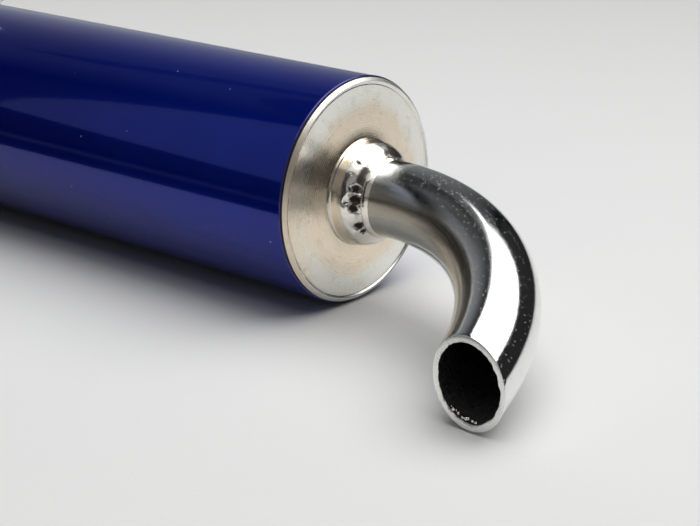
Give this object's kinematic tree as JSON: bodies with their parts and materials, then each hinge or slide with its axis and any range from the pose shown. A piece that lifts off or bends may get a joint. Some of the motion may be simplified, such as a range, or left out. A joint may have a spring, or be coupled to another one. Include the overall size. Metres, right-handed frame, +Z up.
{
  "type": "racing exhaust system",
  "caption": "Small two-stroke exhaust: bent header, expansion chamber and round packed silencer with a side-exit tail pipe.",
  "frame": {"origin": "middle of the footprint, on the surface that the part lies on", "axes": "+X along chamber and silencer towards the tail pipe, +Z up; the tail pipe leaves towards -Y and the engine flange faces +Y"},
  "size_m": [0.6606, 0.1106, 0.087],
  "materials": {
    "plated_steel": "bright nickel plate with fine orange peel",
    "plated_weld": "plated weld bead, lumpy",
    "blue_anodised": "glossy deep blue",
    "black_seal": "cured sealant",
    "raw_steel": "bare perforated steel",
    "steel_wool": "matted wire",
    "glass_wool": "loose glass fibre",
    "zinc_steel": "zinc plated",
    "rivet_aluminium": "satin",
    "black_rubber": "matt moulded rubber",
    "graphite": "pressed graphite",
    "spring_steel": "bright spring wire"
  },
  "bodies": {
    "chamber": {"stinger": "plated_steel", "stinger_weld": "plated_weld", "baffle_cone": "plated_steel", "baffle_weld": "plated_weld", "belly": "plated_steel", "belly_weld": "plated_weld", "diffuser_cone": "plated_steel", "diffuser_weld": "plated_weld", "header_cone": "plated_steel", "socket_weld": "plated_weld", "header_socket": "plated_steel", "chamber_bracket": "plated_steel", "chamber_spring_post_1": "plated_steel", "chamber_spring_post_2": "plated_steel"},
    "header": {"header_pipe": "plated_steel", "header_seal_ring_1": "graphite", "header_seal_ring_2": "graphite", "header_spring_post_1": "plated_steel", "header_spring_post_2": "plated_steel", "engine_flange": "plated_steel", "flange_weld": "plated_weld", "flange_gasket": "graphite"},
    "upper_spring": {"joint_spring_1": "spring_steel"},
    "lower_spring": {"joint_spring_2": "spring_steel"},
    "inlet_clamp": {"inlet_clamp_band": "zinc_steel", "inlet_clamp_screw": "zinc_steel", "inlet_clamp_nut": "zinc_steel"},
    "silencer": {"silencer_shell": "blue_anodised", "rear_cap": "plated_steel", "rear_cap_seal": "black_seal", "outlet_collar": "plated_steel", "tail_pipe": "plated_steel", "tail_pipe_weld": "plated_weld", "front_cap": "plated_steel", "front_cap_seal": "black_seal", "inlet_collar": "plated_steel", "inlet_pipe_weld": "plated_weld", "inlet_pipe": "plated_steel", "core_tube": "raw_steel", "core_locating_ring": "raw_steel", "steel_wool_wrap": "steel_wool", "glass_wool_packing": "glass_wool", "hanger_bracket": "zinc_steel", "hanger_rivet_1": "rivet_aluminium", "hanger_rivet_2": "rivet_aluminium", "hanger_rivet_3": "rivet_aluminium", "hanger_rivet_4": "rivet_aluminium", "hanger_grommet": "black_rubber", "hanger_sleeve": "zinc_steel"}
  },
  "joints": [
    {"name": "header_swivel", "type": "hinge", "parent": "chamber", "child": "header", "pos_m": [-0.25529, -0.00556, 0.03], "axis": [1, 0, 0], "range_deg": [-10, 10]},
    {"name": "upper_spring_swing", "type": "hinge", "parent": "chamber", "child": "upper_spring", "pos_m": [-0.21929, -0.00556, 0.0495], "axis": [0, 0, 1], "range_deg": [-4.1, 4.1]},
    {"name": "lower_spring_swing", "type": "hinge", "parent": "chamber", "child": "lower_spring", "pos_m": [-0.21929, -0.00556, 0.0105], "axis": [0, 0, 1], "range_deg": [-4.1, 4.1]},
    {"name": "silencer_slide", "type": "slide", "parent": "chamber", "child": "inlet_clamp", "axis": [1, 0, 0], "range_m": [0, 0.012]},
    {"name": "silencer_turn", "type": "hinge", "parent": "inlet_clamp", "child": "silencer", "pos_m": [0.03171, -0.00556, 0.03], "axis": [1, 0, 0], "range_deg": [-120, 0]}
  ],
  "couplings": [
    {"joint": "upper_spring_swing", "follows": "header_swivel", "ratio": 0.405},
    {"joint": "lower_spring_swing", "follows": "header_swivel", "ratio": -0.405}
  ]
}
